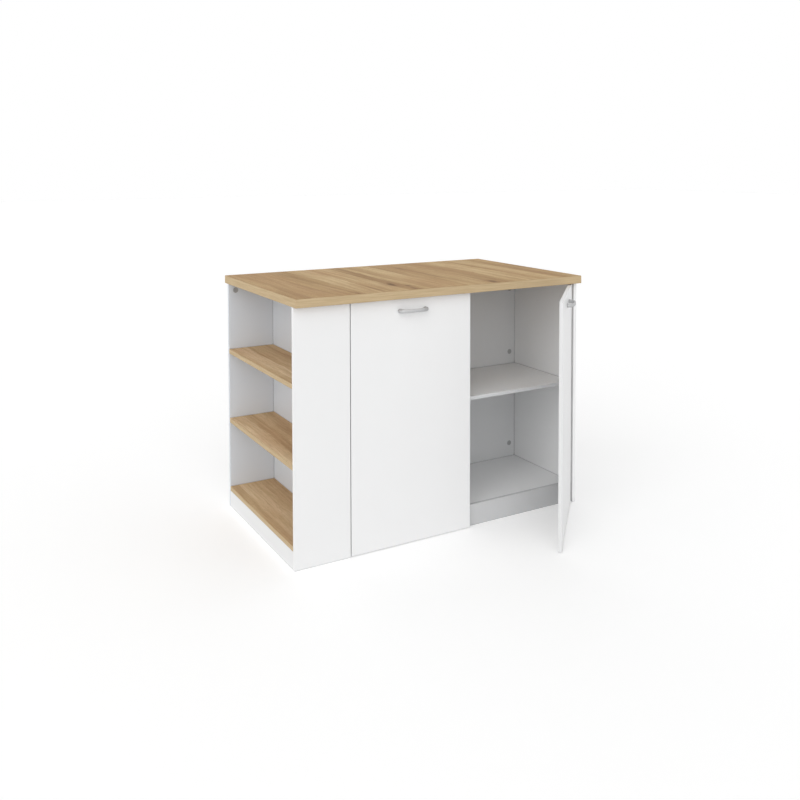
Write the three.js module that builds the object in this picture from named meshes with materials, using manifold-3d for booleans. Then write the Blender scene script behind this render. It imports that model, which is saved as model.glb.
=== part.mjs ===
// Kitchen island unit: an open bay with three oak niches on the left, two white cabinets with
// hinged doors on the front, and an oak worktop that runs out over the front and the back.
// Millimetres, +Z up, +X to the right along the front, +Y from the front to the back.
import * as THREE from 'three';
import { mergeVertices } from 'three/addons/utils/BufferGeometryUtils.js';
import Module from 'manifold-3d';

const wasm = await Module();
wasm.setup();

// ---------------------------------------------------------------- driving dimensions

// Boards
const WHITE_BOARD = 12;
const OAK_BOARD = 16;
const WORKTOP_BOARD = 28;
const EDGE_ARRIS = 1;

// Whole unit
const UNIT_HEIGHT = 850;
const BODY_DEPTH = 628;
const BAY_DEPTH = 169;
const CABINET_INNER_WIDTH = 450;
const CABINET_INNER_DEPTH = 353;
const WORKTOP_END_OVERHANG = 1.5;
const WORKTOP_LONG_OVERHANG = 26;
const PLINTH_HEIGHT = 58;
const CABINET_FLOOR_TOP = 74;

// Doors
const DOOR_TO_DOOR_GAP = 3;
const DOOR_SIDE_GAP = 1.5;
const DOOR_FLOOR_GAP = 2;
const DOOR_TOP_GAP = 3;
const DOOR_TO_CARCASS_GAP = 1;
const RIGHT_DOOR_OPEN_DEG = 46.6;

// Cabinet shelves, on pins
const SHELF_BOTTOM = 442;
const SHELF_SIDE_GAP = 0.5;
const SHELF_FRONT_SETBACK = 2;
const SHELF_BACK_GAP = 2;
const PIN_DIAMETER = 5;
const PIN_DEPTH = 5;
const PIN_BEVEL = 0.6;
const PIN_REACH = 9;
const PIN_INSET = 37;

// Cam fittings
const CAM_DIAMETER = 20;
const CAM_DEPTH = 9;
const CAM_EDGE_DISTANCE = 26;
const CAM_SLOT_WIDTH = 2.8;
const CAM_SLOT_LENGTH = 10;
const CAM_SLOT_DEPTH = 3;
const BACK_CAMS_FROM_FLOOR = [128, 502];
const BACK_CAM_FROM_TOP = 64;
const BAY_CAM_FROM_TOP = 24;

// Bow handles
const HANDLE_HOLE_SPACING = 96;
const HANDLE_PROJECTION = 27;
const HANDLE_FOOT_WIDTH = 17;
const HANDLE_FOOT_HEIGHT = 14;
const HANDLE_BAR_THICKNESS = 6;
const HANDLE_BAR_HEIGHT = 11.5;
const HANDLE_BELOW_DOOR_TOP = 39.5;
// How far its curves hold to the line of the foot, and to the line of the bar, as shares of each.
const HANDLE_OUTER_RISE = 0.7;
const HANDLE_INNER_RISE = 0.8;
const HANDLE_BAR_RUN = 0.7;
const SCREW_DIAMETER = 4;
const SCREW_BITE = 9;
const SCREW_HEAD_DIAMETER = 8;
const SCREW_HEAD_HEIGHT = 2.4;
const SCREW_HEAD_RIM = 1.4;

// Running and assembly clearance between separate pieces
const CLEARANCE = 0.3;

// ---------------------------------------------------------------- places worked out from them

const BODY_TOP = UNIT_HEIGHT - WORKTOP_BOARD;
const HALF_BOARD = WHITE_BOARD / 2;
const CABINET_OUTER = HALF_BOARD + CABINET_INNER_WIDTH;
const PARTITION_LEFT_X = -CABINET_OUTER - WHITE_BOARD;
const BAY_INSIDE_X = PARTITION_LEFT_X - WHITE_BOARD;
const BODY_LEFT = BAY_INSIDE_X - BAY_DEPTH;
const BODY_RIGHT = CABINET_OUTER + WHITE_BOARD;
const CARCASS_FRONT = WHITE_BOARD + DOOR_TO_CARCASS_GAP;
const BACK_BOARD_FRONT = CARCASS_FRONT + CABINET_INNER_DEPTH;
const BACK_BOARD_REAR = BACK_BOARD_FRONT + WHITE_BOARD;
const BAY_REAR_INSIDE = BODY_DEPTH - WHITE_BOARD;
const DOOR_BOTTOM = DOOR_FLOOR_GAP;
const DOOR_TOP = BODY_TOP - DOOR_TOP_GAP;
const DOOR_WIDTH = CABINET_INNER_WIDTH + HALF_BOARD - DOOR_SIDE_GAP - DOOR_TO_DOOR_GAP / 2;
const HANDLE_HEIGHT = DOOR_TOP - HANDLE_BELOW_DOOR_TOP;

// ---------------------------------------------------------------- finishes

const finishes = {
  white: { color: 0xeeeeec, roughness: 0.45, metalness: 0 },
  oak: { color: 0xb9966b, roughness: 0.6, metalness: 0 },
  handleMetal: { color: 0x9c9c9a, roughness: 0.35, metalness: 0.9 },
  hingeSteel: { color: 0xb4b6b8, roughness: 0.3, metalness: 0.95 },
  camZinc: { color: 0x77797b, roughness: 0.5, metalness: 0.8 },
};

const island = new THREE.Group();

function addPiece(parent, name, geometry, finish) {
  const piece = new THREE.Mesh(geometry, new THREE.MeshStandardMaterial(finishes[finish]));
  piece.name = name;
  parent.add(piece);
  return piece;
}

// ---------------------------------------------------------------- solids and cuts

function toSolid(geometry) {
  const bare = geometry.clone();
  bare.deleteAttribute('normal');
  bare.deleteAttribute('uv');
  const merged = mergeVertices(bare);
  return new wasm.Manifold(new wasm.Mesh({
    numProp: 3,
    vertProperties: new Float32Array(merged.attributes.position.array),
    triVerts: new Uint32Array(merged.index.array),
  }));
}

function toGeometry(solid) {
  const mesh = solid.getMesh();
  const geometry = new THREE.BufferGeometry();
  geometry.setAttribute('position', new THREE.BufferAttribute(mesh.vertProperties, 3));
  geometry.setIndex(new THREE.BufferAttribute(mesh.triVerts, 1));
  geometry.computeVertexNormals();
  return geometry;
}

function cut(geometry, tools) {
  return toGeometry(tools.reduce((solid, tool) => solid.subtract(toSolid(tool)), toSolid(geometry)));
}

function join(geometry, others) {
  return toGeometry(others.reduce((solid, other) => solid.add(toSolid(other)), toSolid(geometry)));
}

function common(geometry, other) {
  return toGeometry(toSolid(geometry).intersect(toSolid(other)));
}

function boxBetween([x0, y0, z0], [x1, y1, z1]) {
  const box = new THREE.BoxGeometry(Math.abs(x1 - x0), y1 - y0, z1 - z0);
  return box.translate((x0 + x1) / 2, (y0 + y1) / 2, (z0 + z1) / 2);
}

// A round bar or hole of the given radius with its middle at the given place.
function rod(axis, radius, length, [x, y, z], sides = 24) {
  const bar = new THREE.CylinderGeometry(radius, radius, length, sides);
  if (axis === 'x') bar.rotateZ(Math.PI / 2);
  if (axis === 'z') bar.rotateX(Math.PI / 2);
  return bar.translate(x, y, z);
}

// ---------------------------------------------------------------- worktop and carcass boards

// A board lying flat, with a small arris along its top and bottom edges.
function flatBoard([x0, y0], [x1, y1], bottom, thickness, arris) {
  const outline = new THREE.Shape([
    new THREE.Vector2(x0 + arris, y0 + arris),
    new THREE.Vector2(x1 - arris, y0 + arris),
    new THREE.Vector2(x1 - arris, y1 - arris),
    new THREE.Vector2(x0 + arris, y1 - arris),
  ]);
  const board = new THREE.ExtrudeGeometry(outline, {
    depth: thickness - 2 * arris,
    bevelThickness: arris,
    bevelSize: arris,
    bevelSegments: 2,
    curveSegments: 1,
  });
  return board.translate(0, 0, bottom + arris);
}

function addWorktop() {
  const frontLeft = [BODY_LEFT - WORKTOP_END_OVERHANG, -WORKTOP_LONG_OVERHANG];
  const backRight = [BODY_RIGHT + WORKTOP_END_OVERHANG, BODY_DEPTH + WORKTOP_LONG_OVERHANG];
  addPiece(island, 'worktop', flatBoard(frontLeft, backRight, BODY_TOP, WORKTOP_BOARD, EDGE_ARRIS), 'oak');
}

// The blind hole for a cam fitting, and its drum, whose face looks along -Y (facing -1) or +Y (1).
function camHole([x, y, z]) {
  return rod('y', CAM_DIAMETER / 2, 2 * CAM_DEPTH, [x, y, z]);
}

function addCam(name, [x, y, z], facing) {
  const radius = CAM_DIAMETER / 2 - CLEARANCE;
  const length = CAM_DEPTH - CLEARANCE;
  const drum = rod('y', radius, length, [x, y - facing * length / 2, z]);
  const across = new THREE.BoxGeometry(CAM_SLOT_LENGTH, 2 * CAM_SLOT_DEPTH, CAM_SLOT_WIDTH);
  const upright = new THREE.BoxGeometry(CAM_SLOT_WIDTH, 2 * CAM_SLOT_DEPTH, CAM_SLOT_LENGTH);
  const crossedSlots = [across, upright].map((slot) => slot.translate(x, y, z));
  addPiece(island, name, cut(drum, crossedSlots), 'camZinc');
}

// The bay: a filler panel in front, a rear panel, an inner panel against the left cabinet, and
// three oak boards between them on a plinth.
const BAY_CAM_HEIGHT = BODY_TOP - BAY_CAM_FROM_TOP;
const BAY_CAM_X = BODY_LEFT + CAM_EDGE_DISTANCE;
const BAY_BOARD_COUNT = 3;

function addBay() {
  const fillerRight = -CABINET_OUTER - DOOR_SIDE_GAP;
  const filler = boxBetween([BODY_LEFT, 0, 0], [fillerRight, WHITE_BOARD, BODY_TOP]);
  const fillerCam = [BAY_CAM_X, WHITE_BOARD, BAY_CAM_HEIGHT];
  addPiece(island, 'filler_panel', cut(filler, [camHole(fillerCam)]), 'white');
  addCam('cam_filler_top', fillerCam, 1);

  const rear = boxBetween([BODY_LEFT, BAY_REAR_INSIDE, 0], [-CABINET_OUTER, BODY_DEPTH, BODY_TOP]);
  const rearCam = [BAY_CAM_X, BAY_REAR_INSIDE, BAY_CAM_HEIGHT];
  addPiece(island, 'bay_rear_panel', cut(rear, [camHole(rearCam)]), 'white');
  addCam('cam_bay_rear_top', rearCam, -1);

  const inner = boxBetween([BAY_INSIDE_X, WHITE_BOARD, 0], [PARTITION_LEFT_X, BAY_REAR_INSIDE, BODY_TOP]);
  addPiece(island, 'bay_inner_panel', inner, 'white');

  const plinthBack = BODY_LEFT + WHITE_BOARD;
  addPiece(island, 'bay_plinth',
    boxBetween([BODY_LEFT, WHITE_BOARD, 0], [plinthBack, BAY_REAR_INSIDE, PLINTH_HEIGHT]), 'white');

  const nicheHeight = (BODY_TOP - PLINTH_HEIGHT - BAY_BOARD_COUNT * OAK_BOARD) / BAY_BOARD_COUNT;
  ['bay_bottom_board', 'bay_shelf_lower', 'bay_shelf_upper'].forEach((name, level) => {
    const bottom = PLINTH_HEIGHT + level * (nicheHeight + OAK_BOARD);
    const front = [BODY_LEFT, WHITE_BOARD];
    const back = [BAY_INSIDE_X, BAY_REAR_INSIDE];
    addPiece(island, name, flatBoard(front, back, bottom, OAK_BOARD, EDGE_ARRIS / 2), 'oak');
  });
}

// The blind hole for a shelf pin, and the pin with its two bevelled ends.
function pinHole([x, y, z]) {
  return rod('x', PIN_DIAMETER / 2 + CLEARANCE, 2 * PIN_DEPTH, [x, y, z], 16);
}

function addShelfPin(name, [x, y, z], inward) {
  const radius = PIN_DIAMETER / 2;
  const start = CLEARANCE - PIN_DEPTH;
  const profile = [
    [0, start],
    [radius - PIN_BEVEL, start],
    [radius, start + PIN_BEVEL],
    [radius, PIN_REACH - PIN_BEVEL],
    [radius - PIN_BEVEL, PIN_REACH],
    [0, PIN_REACH],
  ].map(([across, along]) => new THREE.Vector2(across, along));
  const pin = new THREE.LatheGeometry(profile, 12);
  pin.rotateZ(-inward * Math.PI / 2);
  addPiece(island, name, pin.translate(x, y, z), 'hingeSteel');
}

// The pins stand in the side boards, one near the front and one near the back of the shelf.
const PIN_HEIGHT = SHELF_BOTTOM - PIN_DIAMETER / 2 - CLEARANCE;
const PIN_PLACES = [
  ['front', CARCASS_FRONT + PIN_INSET],
  ['back', BACK_BOARD_FRONT - PIN_INSET],
];

function addUprights() {
  const holesAt = (x) => PIN_PLACES.map(([, y]) => pinHole([x, y, PIN_HEIGHT]));
  const left = boxBetween([PARTITION_LEFT_X, WHITE_BOARD, 0], [-CABINET_OUTER, BAY_REAR_INSIDE, BODY_TOP]);
  addPiece(island, 'partition_left', cut(left, holesAt(-CABINET_OUTER)), 'white');
  const middle = boxBetween([-HALF_BOARD, CARCASS_FRONT, 0], [HALF_BOARD, BACK_BOARD_REAR, BODY_TOP]);
  const middleHoles = [...holesAt(-HALF_BOARD), ...holesAt(HALF_BOARD)];
  addPiece(island, 'partition_middle', cut(middle, middleHoles), 'white');
  const right = boxBetween([CABINET_OUTER, 0, 0], [BODY_RIGHT, BODY_DEPTH, BODY_TOP]);
  addPiece(island, 'end_panel_right', cut(right, holesAt(CABINET_OUTER)), 'white');
}

// One cabinet: a plinth, a bottom board behind it, a back board held by cams, and a shelf on pins.
// A side holds the x of the board its door hangs on, and the direction from there into the cabinet.
const sides = {
  left: { hungFace: -CABINET_OUTER, inward: 1, openDeg: 0 },
  right: { hungFace: CABINET_OUTER, inward: -1, openDeg: RIGHT_DOOR_OPEN_DEG },
};

function addCabinet(sideName) {
  const { hungFace, inward } = sides[sideName];
  const middleFace = hungFace + inward * CABINET_INNER_WIDTH;
  const low = Math.min(hungFace, middleFace);
  const high = Math.max(hungFace, middleFace);
  const plinthBack = CARCASS_FRONT + WHITE_BOARD;
  const floorBottom = CABINET_FLOOR_TOP - WHITE_BOARD;

  addPiece(island, `${sideName}_plinth`,
    boxBetween([low, CARCASS_FRONT, 0], [high, plinthBack, CABINET_FLOOR_TOP]), 'white');
  addPiece(island, `${sideName}_bottom_board`,
    boxBetween([low, plinthBack, floorBottom], [high, BACK_BOARD_FRONT, CABINET_FLOOR_TOP]), 'white');

  const back = boxBetween([low, BACK_BOARD_FRONT, 0], [high, BACK_BOARD_REAR, BODY_TOP]);
  const camX = hungFace + inward * CAM_EDGE_DISTANCE;
  const camHeights = [...BACK_CAMS_FROM_FLOOR, BODY_TOP - BACK_CAM_FROM_TOP];
  const cams = camHeights.map((height) => [camX, BACK_BOARD_FRONT, height]);
  addPiece(island, `${sideName}_back_board`, cut(back, cams.map(camHole)), 'white');
  cams.forEach((place, index) => addCam(`${sideName}_back_cam_${index + 1}`, place, -1));

  const shelfFront = [low + SHELF_SIDE_GAP, CARCASS_FRONT + SHELF_FRONT_SETBACK, SHELF_BOTTOM];
  const shelfBack = [high - SHELF_SIDE_GAP, BACK_BOARD_FRONT - SHELF_BACK_GAP, SHELF_BOTTOM + WHITE_BOARD];
  addPiece(island, `${sideName}_shelf`, boxBetween(shelfFront, shelfBack), 'white');
  for (const [place, y] of PIN_PLACES) {
    addShelfPin(`${sideName}_shelf_pin_outer_${place}`, [hungFace, y, PIN_HEIGHT], inward);
    addShelfPin(`${sideName}_shelf_pin_inner_${place}`, [middleFace, y, PIN_HEIGHT], -inward);
  }
}

// ---------------------------------------------------------------- handles

// A bow handle in the door's own place: x along the bow, -y out of the door, z up, middle at 0.
// Its arch is cut from a bar, then drawn in between the two feet.
function bowHandle() {
  const footOuter = (HANDLE_HOLE_SPACING + HANDLE_FOOT_WIDTH) / 2;
  const footInner = (HANDLE_HOLE_SPACING - HANDLE_FOOT_WIDTH) / 2;
  const seat = -CLEARANCE;
  const outerReach = -HANDLE_PROJECTION;
  const innerReach = HANDLE_BAR_THICKNESS - HANDLE_PROJECTION;
  const outerRise = outerReach * HANDLE_OUTER_RISE;
  const innerRise = innerReach * HANDLE_INNER_RISE;
  const barRun = footInner * HANDLE_BAR_RUN;
  const arch = new THREE.Shape();
  arch.moveTo(-footOuter, seat);
  arch.bezierCurveTo(-footOuter, outerRise, -footInner, outerReach, 0, outerReach);
  arch.bezierCurveTo(footInner, outerReach, footOuter, outerRise, footOuter, seat);
  arch.lineTo(footInner, seat);
  arch.bezierCurveTo(footInner, innerRise, barRun, innerReach, 0, innerReach);
  arch.bezierCurveTo(-barRun, innerReach, -footInner, innerRise, -footInner, seat);
  arch.closePath();
  const bow = new THREE.ExtrudeGeometry(arch, {
    depth: HANDLE_FOOT_HEIGHT, bevelEnabled: false, curveSegments: 10,
  }).translate(0, 0, -HANDLE_FOOT_HEIGHT / 2);

  const footRound = HANDLE_FOOT_HEIGHT / 2;
  const barHalf = HANDLE_BAR_HEIGHT / 2;
  const footMiddle = footOuter - footRound;
  const front = new THREE.Shape();
  front.moveTo(-footMiddle, -footRound);
  front.bezierCurveTo(-barRun, -footRound, -barRun, -barHalf, 0, -barHalf);
  front.bezierCurveTo(barRun, -barHalf, barRun, -footRound, footMiddle, -footRound);
  front.absarc(footMiddle, 0, footRound, -Math.PI / 2, Math.PI / 2);
  front.bezierCurveTo(barRun, footRound, barRun, barHalf, 0, barHalf);
  front.bezierCurveTo(-barRun, barHalf, -barRun, footRound, -footMiddle, footRound);
  front.absarc(-footMiddle, 0, footRound, Math.PI / 2, 1.5 * Math.PI);
  const outline = new THREE.ExtrudeGeometry(front, {
    depth: 2 * HANDLE_PROJECTION, bevelEnabled: false, curveSegments: 7,
  }).rotateX(Math.PI / 2).translate(0, HANDLE_PROJECTION / 2, 0);

  const screwHoles = [-1, 1].map((end) => {
    const hole = rod('y', SCREW_DIAMETER / 2 + CLEARANCE, 2 * (SCREW_BITE + CLEARANCE), [0, 0, 0], 16);
    return hole.translate(end * HANDLE_HOLE_SPACING / 2, 0, 0);
  });
  return cut(common(bow, outline), screwHoles);
}

// A handle screw: its head bears on the back of the door and its shank ends in the handle's foot.
function handleScrew() {
  const head = WHITE_BOARD + CLEARANCE;
  const profile = [
    [0, -SCREW_BITE],
    [SCREW_DIAMETER / 2, -SCREW_BITE],
    [SCREW_DIAMETER / 2, head],
    [SCREW_HEAD_DIAMETER / 2, head],
    [SCREW_HEAD_DIAMETER / 2, head + SCREW_HEAD_RIM],
    [SCREW_HEAD_DIAMETER / 4, head + SCREW_HEAD_HEIGHT],
    [0, head + SCREW_HEAD_HEIGHT],
  ].map(([radius, along]) => new THREE.Vector2(radius, along));
  return new THREE.LatheGeometry(profile, 12);
}

// ---------------------------------------------------------------- concealed hinges

// Hinge places are [inward, back]: inward from the board the door hangs on, back from the door front,
// with the door shut. The outer link carries the door: it turns on the arm and the cup turns on it.
const HINGE_FROM_DOOR_END = 100;
const OUTER_ARM_PIVOT = [36.4, 34];
const OUTER_CUP_PIVOT = [11.5, 10.2];
const OUTER_LINK_BEND = [32.8, 13.6];
const INNER_ARM_PIVOT = [34.9, 6.9];
const INNER_CUP_PIVOT = [18.9, 7.1];
// Turn of each link for one degree of door; the links swing back as the door swings out.
const OUTER_LINK_TURN = -0.35;
const INNER_LINK_TURN = -0.65;

const PIVOT_RADIUS = 1.5;
const LINK_HALF_WIDTH = 2.3;
const STRAP_END_FACETS = 4;
const INNER_LINK_HALF_HEIGHT = 3;
const ARM_CHEEK = { from: INNER_LINK_HALF_HEIGHT + CLEARANCE, thickness: 1.3 };
const OUTER_CHEEK = { from: ARM_CHEEK.from + ARM_CHEEK.thickness + CLEARANCE, thickness: 1.3 };

const CUP_DIAMETER = 35;
const CUP_FACETS = 28;
const CUP_DEPTH = 8.7;
const CUP_WALL = 0.8;
const CUP_FROM_DOOR_EDGE = 21.5;
const FLANGE_THICKNESS = 0.7;
const FLANGE_SCREW_SPACING = 48;
const FLANGE_EAR_RADIUS = 6;
const FLANGE_WIDTH = 1;
const FLANGE_WAIST = 0.9;
const CUP_SCREW_HEAD_RADIUS = 3.6;
const CUP_SCREW_HEAD_HEIGHT = 1;
const CUP_NOTCH_DEPTH = 2.5;
const CUP_NOTCH_INSIDE = 2.5;

const ARM_HEEL = [5, 68];
const ARM_SHOULDER = [10, 50];
const ARM_HEEL_HALF_WIDTH = 3.2;
const PLATE_THICKNESS = 2.5;
const PLATE_FRONT = 44;
const PLATE_BACK = 76;
const PLATE_HALF_HEIGHT = 24;
const PLATE_SCREW_SPACING = 32;
const PLATE_SCREW_HEAD_RADIUS = 4;
const PLATE_SCREW_HEAD_HEIGHT = 2;

const CUP_CENTRE = [DOOR_SIDE_GAP + CUP_FROM_DOOR_EDGE, WHITE_BOARD + CLEARANCE];
const HINGE_HEIGHTS = { lower: DOOR_BOTTOM + HINGE_FROM_DOOR_END, upper: DOOR_TOP - HINGE_FROM_DOOR_END };

// From a hinge place to x and y on the given side.
function onSide({ hungFace, inward }, [across, back]) {
  return [hungFace + inward * across, back];
}

// A flat strap with round ends between two points in plan, from one height up to another.
function strapPart([x0, y0], [x1, y1], radius, from, to) {
  const heading = Math.atan2(y1 - y0, x1 - x0);
  const outline = new THREE.Shape();
  outline.absarc(x0, y0, radius, heading + Math.PI / 2, heading + 1.5 * Math.PI);
  outline.absarc(x1, y1, radius, heading - Math.PI / 2, heading + Math.PI / 2);
  outline.closePath();
  const part = new THREE.ExtrudeGeometry(outline, {
    depth: to - from, bevelEnabled: false, curveSegments: STRAP_END_FACETS,
  });
  return part.translate(0, 0, from);
}

function strap(points, radius, from, to) {
  const parts = points.slice(1).map((point, index) => strapPart(points[index], point, radius, from, to));
  return parts.length > 1 ? join(parts[0], parts.slice(1)) : parts[0];
}

// Two like cheeks, one above and one below the middle of the hinge.
function cheeks(points, radius, { from, thickness }, height) {
  const above = strap(points, radius, height + from, height + from + thickness);
  const below = strap(points, radius, height - from - thickness, height - from);
  return [above, below];
}

function pivotPin([x, y], halfLength, height) {
  return rod('z', PIVOT_RADIUS, 2 * halfLength, [x, y, height], 12);
}

function pivotHole([x, y], height) {
  return rod('z', PIVOT_RADIUS + CLEARANCE, CUP_DIAMETER, [x, y, height], 12);
}

// The recess in the back of the door, and the bowl in it with its screw ears and its link pins.
function cupRecess(side, height) {
  const [x, y] = onSide(side, CUP_CENTRE);
  return rod('y', CUP_DIAMETER / 2, 2 * (CUP_DEPTH + CLEARANCE), [x, y - CLEARANCE, height], CUP_FACETS);
}

function hingeCup(side, height) {
  const [x, back] = onSide(side, CUP_CENTRE);
  const outer = CUP_DIAMETER / 2 - CLEARANCE;
  const inner = outer - CUP_WALL;
  const rimTop = back + FLANGE_THICKNESS;
  const floor = back - CUP_DEPTH;
  const bowl = new THREE.LatheGeometry([
    [0, floor],
    [outer, floor],
    [outer, rimTop],
    [inner, rimTop],
    [inner, floor + CUP_WALL],
    [0, floor + CUP_WALL],
  ].map(([radius, depth]) => new THREE.Vector2(radius, depth)), CUP_FACETS).translate(x, 0, height);

  const flange = new THREE.Shape();
  const earAt = FLANGE_SCREW_SPACING / 2;
  flange.absarc(0, earAt, FLANGE_EAR_RADIUS, 0, Math.PI);
  flange.absarc(0, 0, outer + FLANGE_WIDTH, Math.PI - FLANGE_WAIST, Math.PI + FLANGE_WAIST);
  flange.absarc(0, -earAt, FLANGE_EAR_RADIUS, Math.PI, 2 * Math.PI);
  flange.absarc(0, 0, outer + FLANGE_WIDTH, -FLANGE_WAIST, FLANGE_WAIST);
  flange.closePath();
  flange.holes.push(new THREE.Path().absarc(0, 0, inner + CUP_WALL / 2, 0, 2 * Math.PI, true));
  const plate = new THREE.ExtrudeGeometry(flange, {
    depth: FLANGE_THICKNESS, bevelEnabled: false, curveSegments: 12,
  }).rotateX(Math.PI / 2).translate(x, rimTop, height);

  const screwHeads = [-1, 1].map((end) => (
    rod('y', CUP_SCREW_HEAD_RADIUS, CUP_SCREW_HEAD_HEIGHT, [x, rimTop, height + end * earAt], 16)
  ));
  const pin = onSide(side, OUTER_CUP_PIVOT);
  const pinEdge = Math.abs(pin[0] - x) + PIVOT_RADIUS;
  const halfChord = Math.sqrt((outer - CUP_WALL / 4) ** 2 - pinEdge ** 2);
  // Two short pins, one from each side of the bowl, leave the middle to the inner link.
  const pins = [-1, 1].map((end) => {
    const middle = end * (halfChord + ARM_CHEEK.from) / 2;
    return pivotPin(pin, (halfChord - ARM_CHEEK.from) / 2, height + middle);
  });
  const whole = join(bowl, [plate, ...screwHeads, ...pins]);

  // The links lie through this notch in the rim when the door stands wide open.
  const notchHalfHeight = OUTER_CHEEK.from + OUTER_CHEEK.thickness + 2 * CLEARANCE;
  const notchEdge = (across, level) => (
    [onSide(side, [across, 0])[0], rimTop + level * CUP_NOTCH_DEPTH, height + level * notchHalfHeight]
  );
  const notch = boxBetween(
    notchEdge(CUP_CENTRE[0] - outer - 2 * FLANGE_WIDTH, -1),
    notchEdge(CUP_CENTRE[0] - inner + CUP_NOTCH_INSIDE, 1),
  );
  return cut(whole, [notch]);
}

// The arm stands on its plate on the side board, reaches inward, and turns forward over the cup.
function hingeArm(side, height) {
  const line = [ARM_HEEL, ARM_SHOULDER, OUTER_ARM_PIVOT, INNER_ARM_PIVOT].map((place) => onSide(side, place));
  const [upper, lower] = cheeks(line, LINK_HALF_WIDTH, ARM_CHEEK, height);
  const reach = ARM_CHEEK.from + ARM_CHEEK.thickness;
  const web = strap(line.slice(0, 2), ARM_HEEL_HALF_WIDTH, height - reach, height + reach);
  const corner = (across, back, up) => [...onSide(side, [across, back]), height + up];
  const plate = boxBetween(
    corner(CLEARANCE, PLATE_FRONT, -PLATE_HALF_HEIGHT),
    corner(CLEARANCE + PLATE_THICKNESS, PLATE_BACK, PLATE_HALF_HEIGHT),
  );
  const screwHeads = [-1, 1].map((end) => rod('x', PLATE_SCREW_HEAD_RADIUS, PLATE_SCREW_HEAD_HEIGHT, corner(
    CLEARANCE + PLATE_THICKNESS + PLATE_SCREW_HEAD_HEIGHT / 2 - CLEARANCE,
    (PLATE_FRONT + PLATE_BACK) / 2,
    end * PLATE_SCREW_SPACING / 2,
  ), 16));
  const innerPin = pivotPin(onSide(side, INNER_ARM_PIVOT), reach, height);
  const whole = join(upper, [lower, web, plate, ...screwHeads, innerPin]);
  return cut(whole, [pivotHole(onSide(side, OUTER_ARM_PIVOT), height)]);
}

// The outer link: two bent cheeks outside the arm, on one pin, with eyes for the pins of the cup.
function outerLink(side, height) {
  const line = [OUTER_ARM_PIVOT, OUTER_LINK_BEND, OUTER_CUP_PIVOT].map((place) => onSide(side, place));
  const [upper, lower] = cheeks(line, LINK_HALF_WIDTH, OUTER_CHEEK, height);
  const pin = pivotPin(line[0], OUTER_CHEEK.from + OUTER_CHEEK.thickness, height);
  return cut(join(upper, [lower, pin]), [pivotHole(line[2], height)]);
}

// The inner link: a solid strap between the cheeks of the arm, reaching into the bowl.
function innerLink(side, height) {
  const line = [INNER_ARM_PIVOT, INNER_CUP_PIVOT].map((place) => onSide(side, place));
  const bar = strap(line, LINK_HALF_WIDTH, height - INNER_LINK_HALF_HEIGHT, height + INNER_LINK_HALF_HEIGHT);
  return cut(bar, [pivotHole(line[0], height)]);
}

// ---------------------------------------------------------------- doors

// A group that turns about an upright line through a pivot. Its pieces are drawn where they are with
// the door shut, and moved so that the pivot is the group's own middle.
function turningGroup(parent, parentPivot, pivot, degrees) {
  const group = new THREE.Group();
  group.position.set(pivot[0] - parentPivot[0], pivot[1] - parentPivot[1], 0);
  group.rotation.z = THREE.MathUtils.degToRad(degrees);
  parent.add(group);
  const add = (name, geometry, finish) => {
    addPiece(group, name, geometry.translate(-pivot[0], -pivot[1], 0), finish);
  };
  return { group, add };
}

function addDoor(sideName) {
  const side = sides[sideName];
  const opening = -side.inward * side.openDeg;
  const outerArm = onSide(side, OUTER_ARM_PIVOT);
  const outerCup = onSide(side, OUTER_CUP_PIVOT);
  const innerArm = onSide(side, INNER_ARM_PIVOT);
  const outerLinks = turningGroup(island, [0, 0], outerArm, opening * OUTER_LINK_TURN);
  const innerLinks = turningGroup(island, [0, 0], innerArm, opening * INNER_LINK_TURN);
  for (const [level, height] of Object.entries(HINGE_HEIGHTS)) {
    addPiece(island, `${sideName}_hinge_arm_${level}`, hingeArm(side, height), 'hingeSteel');
    outerLinks.add(`${sideName}_hinge_outer_link_${level}`, outerLink(side, height), 'hingeSteel');
    innerLinks.add(`${sideName}_hinge_inner_link_${level}`, innerLink(side, height), 'hingeSteel');
  }

  const door = turningGroup(outerLinks.group, outerArm, outerCup, opening * (1 - OUTER_LINK_TURN));
  const hungEdge = onSide(side, [DOOR_SIDE_GAP, 0])[0];
  const freeEdge = onSide(side, [DOOR_SIDE_GAP + DOOR_WIDTH, 0])[0];
  const middle = (hungEdge + freeEdge) / 2;
  const leaf = boxBetween(
    [Math.min(hungEdge, freeEdge), 0, DOOR_BOTTOM],
    [Math.max(hungEdge, freeEdge), WHITE_BOARD, DOOR_TOP],
  );
  const screwPlaces = [
    ['a', middle - HANDLE_HOLE_SPACING / 2],
    ['b', middle + HANDLE_HOLE_SPACING / 2],
  ];
  const screwHoles = screwPlaces.map(([, x]) => (
    rod('y', SCREW_DIAMETER / 2 + CLEARANCE, 3 * WHITE_BOARD, [x, 0, HANDLE_HEIGHT], 16)
  ));
  const recesses = Object.values(HINGE_HEIGHTS).map((height) => cupRecess(side, height));
  door.add(`${sideName}_door`, cut(leaf, [...screwHoles, ...recesses]), 'white');
  for (const [level, height] of Object.entries(HINGE_HEIGHTS)) {
    door.add(`${sideName}_hinge_cup_${level}`, hingeCup(side, height), 'hingeSteel');
  }
  door.add(`${sideName}_handle`, bowHandle().translate(middle, 0, HANDLE_HEIGHT), 'handleMetal');
  for (const [mark, x] of screwPlaces) {
    door.add(`${sideName}_handle_screw_${mark}`, handleScrew().translate(x, 0, HANDLE_HEIGHT), 'hingeSteel');
  }
}

// ---------------------------------------------------------------- assembly

addWorktop();
addBay();
addUprights();
for (const sideName of ['left', 'right']) {
  addCabinet(sideName);
  addDoor(sideName);
}

// The unit's own origin is the middle of the foot of the middle partition, on the floor.
island.position.y = -(CARCASS_FRONT + BACK_BOARD_REAR) / 2;
island.updateMatrixWorld(true);

export default island;
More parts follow.
